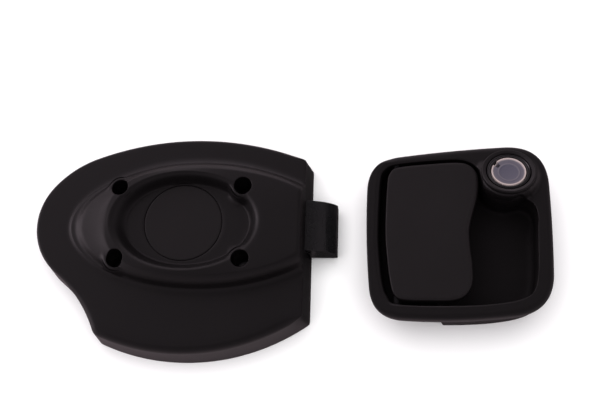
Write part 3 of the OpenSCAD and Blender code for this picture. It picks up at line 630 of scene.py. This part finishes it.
def from_mouth(ring):
    """Distance of each point from the edge of the opening."""
    run = np.roll(mouth, -1, 0) - mouth
    off = ring[:, None, :] - mouth[None, :, :]
    t = np.clip((off * run).sum(2) / (run * run).sum(1), 0, 1)
    return np.linalg.norm(off - t[:, :, None] * run, axis=2).min(1)


def tray_floor(ring):
    return POCKET + (RECESS - POCKET) * smooth_step(ring[:, 0], SPLIT - 1, SPLIT + 3)


def tray_foot(ring):
    """Height of the bowl's lower edge: the pocket's underside on the left, the floor under the recess."""
    return UNDERSIDE - UNDERSIDE * smooth_step(ring[:, 0], SPLIT - 1, SPLIT + 3.5)


def tray_under(ring):
    return UNDERSIDE - (UNDERSIDE - RECESS_UNDER) * smooth_step(ring[:, 0], SPLIT + 2, SPLIT + 5)


def swell(ring):
    """How far the rim's face rises to meet the leaning boss."""
    rise = BOSS_TOP - (ring[:, 1] - BOSS_AT[1]) * math.tan(LEAN) - RIM_TOP
    out = np.hypot(ring[:, 0] - BOSS_AT[0], (ring[:, 1] - BOSS_AT[1]) / math.cos(LEAN))
    return np.maximum(rise, 0) * (1 - smooth_step(out, BOSS_R, BOSS_R + BOSS_FADE))


def rolled(line, e, z, top, tight):
    """One ring of a rolled edge, with its upper half drawn tighter where asked."""
    squeeze = tight if z >= RIM_MID else 1
    return lift(inset(line, e * squeeze), top - (top - z) * squeeze)


def turned(bm, profile, place=Matrix.Identity(4), steps=96):
    """Adds a body of revolution from a profile of radius and height, the axis along the place's own Z."""
    lathe = bmesh.new()
    verts = [lathe.verts.new((r, 0, z)) for r, z in profile]
    edges = [lathe.edges.new(pair) for pair in zip(verts, verts[1:])]
    bmesh.ops.spin(lathe, geom=verts + edges, cent=(0, 0, 0), axis=(0, 0, 1), angle=2 * math.pi, steps=steps,
                   use_merge=True)
    bmesh.ops.remove_doubles(lathe, verts=lathe.verts, dist=0.0005)
    bmesh.ops.transform(lathe, matrix=place, verts=lathe.verts)
    made = bpy.data.meshes.new("turned")
    lathe.to_mesh(made)
    lathe.free()
    bm.from_mesh(made)
    bpy.data.meshes.remove(made)


def block(bm, low, high, ease):
    """Adds a box with eased edges between two corners."""
    size = Vector(high) - Vector(low)
    box = Matrix.Translation((Vector(low) + Vector(high)) / 2) @ Matrix.Diagonal((*size, 1))
    made = bmesh.ops.create_cube(bm, size=1, matrix=box)["verts"]
    edges = list(dict.fromkeys(e for v in made for e in v.link_edges))
    bmesh.ops.bevel(bm, geom=edges, offset=ease, offset_type="OFFSET", affect="EDGES", segments=2,
                    profile=0.5, material=-1)


right = smooth_step(mouth[:, 0], 18, 44) * (1 - smooth_step(mouth[:, 1], 2, 16))
lower = smooth_step(-mouth[:, 1], 20, 40) * smooth_step(mouth[:, 0], -6, 10)
scoop = SCOOP + SCOOP_RIGHT * right + SCOOP_LOWER * lower * (1 - right)
rings = []
for share in FLOOR_SHARES:
    ring = mouth * share
    into = np.clip(scoop - from_mouth(ring), 0, scoop)
    rings.append(lift(ring, tray_floor(ring) + scoop - np.sqrt(scoop ** 2 - into ** 2)))
lip = LIP + LIP_LEFT * smooth_step(-mouth[:, 0], 30, 44) - LIP_RIGHT * smooth_step(mouth[:, 0], 34, 44)
rings += between(rings[-1], lift(mouth, RIM_TOP - lip), 4)
for bend in range(0, 91, 10):
    c, s = heading(bend)
    ring = inset(mouth, -lip * (1 - c))
    rings.append(lift(ring, RIM_TOP - lip * (1 - s) + swell(ring)))
edge = eased_through([(6, 33.6), (3.6, RIM_TOP), (1.5, 33.5), (0.4, 32.1), (0, RIM_MID), (0.1, 28.2),
                      (0.6, 27.3), (1.5, RIM_LOW), (3, RIM_LOW)], 4)
left_roll = 1 - 0.72 * smooth_step(-rim_line[:, 0], 38, 47)
edge_rings = [rolled(rim_line, e, z, RIM_TOP, left_roll) for e, z in edge]
rings += [lift(ring[:, :2], RIM_TOP + swell(ring)) for ring in between(rings[-1], edge_rings[0], 24)]
rings += edge_rings
below = smooth_step(-mouth[:, 1], 24, 38) * smooth_step(mouth[:, 0], SPLIT - 1, SPLIT + 3)
bowl = BOWL + BOWL_LOWER * below
outside = inset(mouth, -bowl)
foot = tray_foot(outside)
skirting = lift(outside, RIM_LOW)
rings += between(rings[-1], skirting, 3) + [skirting]
rings += [lift(outside, RIM_LOW + (foot - RIM_LOW) * share) for share in (0.25, 0.6, 0.96)]
rings += [lift(inset(outside, 0.6), foot), lift(inset(mouth, -0.4), foot)]
rings += [lift(mouth * share, tray_under(mouth * share)) for share in (1, 0.85, 0.6, 0.3, 0.08)]
bm = bmesh.new()
loft(bm, rings, capped=True)
to_boss = BOSS.inverted()
bored = []
for f in bm.faces:
    at = to_boss @ f.calc_center_median()
    if math.hypot(at.x, at.y) < BOSS_R - 1.4 and abs(at.z) < 5:
        bored.append(f)
bmesh.ops.delete(bm, geom=bored, context="FACES")
turned(bm, [(SHAFT_BORE, -28), (7.7, -28), (8, -27.7), (8, -13.5), (15.2, -13), (BOSS_R - 0.2, -12.4),
            (BOSS_R - 0.2, -0.3), (BOSS_R - 0.5, 0), (CARRIER_BORE, 0), (CARRIER_BORE, -10.3),
            (SHAFT_BORE, -10.3), (SHAFT_BORE, -28)], BOSS)
for x, y, top in CLAMP_POSTS:
    turned(bm, [(3.2, top), (3.2, 1.0), (4.9, 1.0), (5.2, 1.3), (5.2, top)],
           Matrix.Translation((x, y, 0)), 48)
for y in SLIDE_GUIDES:
    block(bm, (-28.8, y - 1.5, POST_LOW), (-11.3, y + 1.5, 18.3), 0.3)
for y in ARBOR_EARS:
    block(bm, (-31, y, POST_LOW), (-22, y + 2.5, 24.5), 0.3)
for y in BUFFER_POSTS:
    turned(bm, [(4.5, POST_LOW), (4.5, 24.4), (4.2, 24.7), (0, 24.7)],
           Matrix.Translation((SPLIT - 4, y, 0)), 48)
tray = black_plastic("tray_nylon", 0.46, 0.20, dull=0.25)
settle(bm, "handle_frame_moulding", HANDLE, "fixed", tray, "handle_frame", sharp=50)

# Gasket behind the rim
# A flat sheet-rubber seal, die cut to the rim's outline and laid over the bowl before the handle is clamped.
# It is held by the clamping alone.
GASKET_LOW, GASKET_GAP = 24.5, 0.3
rubber, first, place, inputs = finish("gasket_rubber", IOR=1.48)
dust = first.noise(place, 220.0, 4.0, 0.6)
first.feed(inputs["Base Color"], first.blend(dust, (0.004, 0.004, 0.0042, 1), (0.010, 0.0095, 0.0095, 1)))
first.feed(inputs["Roughness"], 0.7 + dust * 0.15)
first.feed(inputs["Normal"], first.bump(dust, 0.15, 0.0002))
bm = bmesh.new()
cut_edge = [(1.5, RIM_LOW), (1.2, RIM_LOW - 0.3), (1.2, GASKET_LOW + 0.5), (1.5, GASKET_LOW)]
rings = [lift(inset(rim_line, e), z) for e, z in cut_edge]
rings += [lift(inset(mouth, -GASKET_GAP - bowl), z) for z in (GASKET_LOW, RIM_LOW)]
loft(bm, rings + [rings[0]])
bmesh.ops.remove_doubles(bm, verts=bm.verts, dist=0.001)
settle(bm, "gasket_sheet", HANDLE, "fixed", rubber, "rim_gasket")

# Paddle
# The lifting paddle is a thick rounded plate of the same nylon, with a wavy free edge for the fingers.
# It turns on two stub pins near its left edge, and a heel under it pushes the release slide.
PADDLE_TOP, PADDLE_LOW, PADDLE_CROWN = 33.6, 27.2, 0.05
HEEL = (-32.5, -8, 16.5), (-28.7, 8, 28.2)
middle = np.array([-15, 0])
blade = at_angles(closed_curve(
    [(-31.5, -40.2), (-16, -40.7), (-2.5, -40.3), (4.6, -37.2), (8.6, -30), (8.8, -19), (7.6, -7), (7.5, 3),
     (9.8, 13), (12.4, 22.5), (13.3, 30.5), (12.3, 37.2), (8, 42.1), (0.5, 43.8), (-18, 42.7), (-34, 40.8),
     (-38.9, 37), (-40.6, 29), (-41.5, 1.7), (-40.4, -16), (-38.6, -30), (-36.6, -37)], 16) - middle,
    DIAL) + middle
roll = eased_through([(3, 27.3), (1.4, PADDLE_LOW), (0.4, 27.6), (0, 28.5), (0, 30.8), (0.12, 32.2),
                      (0.55, 33.05), (1.3, 33.48), (2.3, PADDLE_TOP), (3.6, PADDLE_TOP)], 4)
rings = [lift(middle + (inset(blade, 1.4) - middle) * s, PADDLE_LOW) for s in (0.1, 0.5, 0.9)]
left_roll = 1 - 0.5 * smooth_step(-blade[:, 0], 33, 40)
rings += [rolled(blade, e, z, PADDLE_TOP, left_roll) for e, z in roll]
top = inset(blade, 3.2)
for share in (1, 0.93, 0.8, 0.6, 0.35, 0.1):
    rings.append(lift(middle + (top - middle) * share, PADDLE_TOP + PADDLE_CROWN * (1 - share)))
bm = bmesh.new()
loft(bm, rings, capped=True)
block(bm, *HEEL, 0.4)
# The paddle takes a lighter copy of the nylon's colour, the same over the whole piece.
lighter_nylon = black_plastic("lighter_paddle_nylon", 0.46, 0.20, 2.4)
settle(bm, "paddle_moulding", HANDLE, "paddle", lighter_nylon, "paddle", sharp=50)

# Blanking disc
# A plain satin cap of black plastic, snapped into the dish floor by a hollow stub.
# Its face lies flush with the dish.
DISC_R, DISC_UNDER, STUB_R, STUB_LOW = 23.65, 25.6, 4, 22.6
disc_satin = black_plastic("satin_disc", 0.44, 0.12, 1.8)
bm = bmesh.new()
turned(bm, [(0, 25.0), (2.6, 25.0), (2.6, STUB_LOW + 0.2), (2.8, STUB_LOW), (3.8, STUB_LOW),
            (STUB_R, STUB_LOW + 0.2), (STUB_R, DISC_UNDER), (DISC_R, DISC_UNDER), (DISC_R, 26.65),
            (DISC_R - 0.1, 26.88), (DISC_R - 0.3, DISH_FLOOR), (22.5, DISH_FLOOR), (0, DISH_FLOOR)],
       steps=160)
settle(bm, "blanking_disc_cap", CASE, "fixed", disc_satin, "blanking_disc")

# Lock barrel
# A satin collar with two raised beads is pressed onto the boss, and a gloss black carrier turns inside it.
# A milky plug is pushed into the carrier to keep dust out until the cylinder is fitted.
BARREL = HANDLE @ BOSS
COLLAR_R, CARRIER_R, CUP_R, PLUG_R, SHAFT_R = 15.8, 12.6, 10.55, 10.1, 6
# Notch in the plug's rim: its angle, half its width, its depth and the radius it starts from.
NOTCH_AT, NOTCH_HALF, NOTCH_DEEP, NOTCH_FROM = 142, 9.5, 2.4, 6.92
# The shallow well in the plug's face is moulded a little off its middle.
WELL_SHIFT = (0.2, -0.6)
collar_satin = black_plastic("satin_collar", 0.45, 0.12)
bm = bmesh.new()
turned(bm, [(CARRIER_BORE, -0.2), (CARRIER_BORE, 1.3), (13.2, 1.62), (13.5, 1.85), (14.0, 2.0), (14.5, 2.05),
            (14.9, 2.2), (15.3, 2.28), (15.6, 2.1), (15.78, 1.7), (COLLAR_R, 1.2), (COLLAR_R, -2.2),
            (15.4, -2.2), (15.4, -0.2), (CARRIER_BORE, -0.2)], steps=144)
settle(bm, "barrel_collar_ring", BARREL, "fixed", collar_satin, "barrel_collar", sharp=50)

gloss, first, place, inputs = finish("gloss_carrier", IOR=1.5)
haze = first.noise(place, 300.0, 2.0)
first.feed(inputs["Base Color"], first.blend(haze, (0.004, 0.004, 0.0045, 1), (0.007, 0.0065, 0.007, 1)))
first.feed(inputs["Roughness"], 0.14 + haze * 0.10)
bm = bmesh.new()
turned(bm, [(0, -8), (4.1, -8), (4.1, -2.5), (CUP_R, -2.5), (CUP_R, 0.9), (10.75, 1.25), (11.1, 1.4),
            (11.45, 1.38), (11.65, 1.2), (11.85, 1.15), (12.05, 1.4), (12.25, 1.62), (12.45, 1.55),
            (12.55, 1.2), (CARRIER_R, -9.7), (12.3, -10), (SHAFT_R, -10), (SHAFT_R, -30.2), (5.8, -30.4),
            (3, -30.4), (3, -32.8), (2.8, -33), (1.5, -33), (1.5, -26), (0, -26)], steps=144)
settle(bm, "barrel_carrier_cup", BARREL, "barrel", gloss, "barrel_carrier", sharp=50)

milky, first, place, inputs = finish("milky_plug", IOR=1.5, Roughness=0.34)
from_hub = first.vector_math("SUBTRACT", {0: place, 1: BARREL.translation * MM})
skew = first.vector_math("CROSS_PRODUCT", {0: from_hub, 1: BARREL.col[2].to_3d()})
out_from_axis = first.vector_math("LENGTH", {0: skew}, out=1)
mottle = first.noise(place, 240.0, 3.0)
tint = first.ramp(out_from_axis * 90 + mottle * 0.03, (0.50, (0.055, 0.051, 0.072)),
                  (0.56, (0.095, 0.086, 0.102)), (0.62, (0.062, 0.056, 0.076)), (0.80, (0.078, 0.071, 0.088)),
                  (0.88, (0.42, 0.345, 0.335)), (1.0, (0.38, 0.315, 0.315)))
first.feed(inputs["Base Color"], tint)
bm = bmesh.new()
turned(bm, [(0, 0.55), (5.2, 0.55), (5.5, 0.62), (5.75, 0.85), (6.05, 0.95), (6.4, 0.92), (6.9, 0.85),
            (6.95, 0.85), (7.8, 0.85), (8.6, 0.85), (9.0, 1.0), (9.35, 1.35), (9.65, 1.55), (9.9, 1.5),
            (10.05, 1.25), (PLUG_R, 0.9), (PLUG_R, -2.5), (4.0, -2.5), (4.0, -7.4), (3.8, -7.6), (0, -7.6)],
       steps=180)
for v in bm.verts:
    r, t = v.co.xy.length, bearing(v.co)
    if v.co.z > 0.5 and r > NOTCH_FROM and abs(t - NOTCH_AT) < NOTCH_HALF:
        v.co.z -= NOTCH_DEEP
    elif v.co.z > 0.5 and r < 9:
        v.co.xy += Vector(WELL_SHIFT) * float(1 - smooth_step(r, 6, 9))
for r, t, thick in ((8.4, NOTCH_AT, 0.45), (9.9, 247, 0.4)):
    turned(bm, [(0, -2), (thick, -2), (thick, 1.0), (thick - 0.15, 1.2), (0, 1.2)],
           Matrix.Translation((*(r * heading(t)), 0)), 20)
settle(bm, "dust_plug_cap", BARREL, "plug", milky, "dust_plug")

# Machined pieces
# The greased plastic bolt, the zinc, black and brass metal pieces behind, and two rubber buffers. They are
# cut, pressed or turned, and screwed, riveted or pressed in.
FLAT_ANGLE, HARD_ANGLE = math.radians(1.0), math.radians(35)


def eased(node, name, ease, finish_with, segments=2):
    """A copy of a node's solid with its hard edges eased, which rides on the node's own body."""
    bm = bmesh.new()
    bm.from_mesh(frame["nodes"][node].data)
    bmesh.ops.remove_doubles(bm, verts=bm.verts, dist=1e-6)
    bmesh.ops.scale(bm, vec=(1 / MM, 1 / MM, 1 / MM), verts=bm.verts)
    bmesh.ops.dissolve_limit(bm, angle_limit=FLAT_ANGLE, verts=bm.verts, edges=bm.edges)
    hard = [e for e in bm.edges if len(e.link_faces) == 2 and e.calc_face_angle(0) > HARD_ANGLE]
    bmesh.ops.bevel(bm, geom=hard, offset=ease, offset_type="OFFSET", affect="EDGES", segments=segments,
                    profile=0.5, material=-1, clamp_overlap=True)
    body = frame["nodes"][node]["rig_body"]
    made = settle(bm, name, Matrix.Identity(4), body, finish_with, node, outward=False)
    made.modifiers.new("flat_faces", "WEIGHTED_NORMAL").keep_sharp = True


greased, first, place, inputs = finish("greased_bolt", IOR=1.5)
smear = first.noise(first.stretch(place, (420.0, 60.0, 420.0)), 1.0, 3.0, 0.55)
film = first.noise(place, 90.0, 3.0, 0.6)
first.feed(inputs["Base Color"], first.blend(film, (0.0035, 0.0035, 0.004, 1), (0.007, 0.0065, 0.007, 1)))
first.feed(inputs["Roughness"], 0.18 + film * 0.22)
first.feed(inputs["Normal"], first.bump(smear, 0.55, 0.0006, first.bump(film, 0.2, 0.0008)))
eased("latch_bolt", "latch_bolt_bar", 0.55, greased, segments=3)

zinc, first, place, inputs = finish("zinc_plate", Metallic=1.0)
brush = first.noise(first.stretch(place, (60.0, 900.0, 900.0)), 1.0, 3.0)
spangle = first.noise(place, 160.0, 2.0)
first.feed(inputs["Base Color"], first.blend(spangle, (0.46, 0.46, 0.48, 1), (0.62, 0.62, 0.63, 1)))
first.feed(inputs["Roughness"], 0.28 + spangle * 0.14 + brush * 0.08)
first.feed(inputs["Normal"], first.bump(brush, 0.08, 0.0001))
for node, ease in (("back_plate", 0.2), ("plate_screws", 0.12), ("screw_sleeves", 0.2), ("spring_post", 0.3),
                   ("bolt_guide", 0.25), ("retractor_lever", 0.3), ("release_slide", 0.3),
                   ("slide_keeper", 0.25), ("locking_cam", 0.3), ("cam_screw", 0.2), ("spring_arbor", 0.2),
                   ("lever_pin", 0.15)):
    eased(node, node + "_metal", ease, zinc)

oxide, first, place, inputs = finish("black_oxide", Metallic=0.6)
stain = first.noise(place, 260.0, 3.0)
first.feed(inputs["Base Color"], first.blend(stain, (0.004, 0.004, 0.0045, 1), (0.008, 0.0075, 0.008, 1)))
first.feed(inputs["Roughness"], 0.55 + stain * 0.15)
eased("hinge_pins", "hinge_pins_oxide", 0.15, oxide)

brass, first, place, inputs = finish("turned_brass", Metallic=1.0)
lathe = first.noise(first.stretch(place, (80.0, 80.0, 2400.0)), 1.0, 2.0)
first.feed(inputs["Base Color"], first.blend(lathe, (0.58, 0.40, 0.14, 1), (0.74, 0.55, 0.24, 1)))
first.feed(inputs["Roughness"], 0.22 + lathe * 0.15)
eased("threaded_inserts", "brass_inserts", 0.2, brass)
eased("paddle_buffers", "rubber_buffers", 0.3, rubber)

# Springs and clip
# Both springs are wound from drawn wire. The bolt's is pressed between the post and the tail of the bolt.
# The paddle's is a torsion spring on its arbor, with a leg under the paddle and one on the pocket floor.
# The clip that keeps the lever on its pin is of the same bright spring steel.
WIRE_R, BOLT_SPRING_FROM, ARBOR_AT, LEG_X = 0.7, (-45.95, 0, 11), (-27, 24.6, 21.5), -23.8
LEGS = ((18.3, 21.5, 27.1), (23.9, 14.7, 21.5))
wire, first, place, inputs = finish("drawn_wire", Metallic=1.0)
draw = first.noise(place, 500.0, 2.0)
first.feed(inputs["Base Color"], first.blend(draw, (0.50, 0.50, 0.52, 1), (0.66, 0.66, 0.67, 1)))
first.feed(inputs["Roughness"], 0.25 + draw * 0.12)
eased("lever_clip", "lever_clip_ring", 0.15, wire)


def coil(bm, start, radius, length, turns):
    """Winds a round wire about an axis along X, from the start onwards."""
    upright = Matrix.Rotation(math.pi / 2, 4, "Y") @ Matrix.Rotation(math.pi / 2, 4, "X")
    at = Matrix.Translation(Vector(start) + Vector((WIRE_R, 0, radius))) @ upright
    made = bmesh.ops.create_circle(bm, segments=14, radius=WIRE_R, matrix=at)["verts"]
    edges = list(dict.fromkeys(e for v in made for e in v.link_edges))
    steps = 40 * turns
    bmesh.ops.spin(bm, geom=made + edges, cent=start, axis=(1, 0, 0), angle=2 * math.pi * turns, steps=steps,
                   dvec=((length - 2 * WIRE_R) / steps, 0, 0))
    bmesh.ops.holes_fill(bm, edges=[e for e in bm.edges if e.is_boundary], sides=20)


bm = bmesh.new()
coil(bm, BOLT_SPRING_FROM, radius=4.3, length=35.9, turns=8)
bolt_spring = settle(bm, "bolt_spring_coil", CASE, "fixed", wire, "bolt_spring")
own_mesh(bolt_spring)
bm = bmesh.new()
coil(bm, (0, 0, 0), radius=3.2, length=7, turns=4)
on_arbor = Matrix.Translation(ARBOR_AT) @ Matrix.Rotation(-math.pi / 2, 4, "Z")
bmesh.ops.transform(bm, matrix=on_arbor, verts=bm.verts)
for y, low, high in LEGS:
    turned(bm, [(0, low), (0.5, low), (WIRE_R, low + 0.2), (WIRE_R, high - 0.2), (0.5, high), (0, high)],
           Matrix.Translation((LEG_X, y, 0)), 16)
settle(bm, "paddle_spring_coil", HANDLE, "fixed", wire, "paddle_spring")
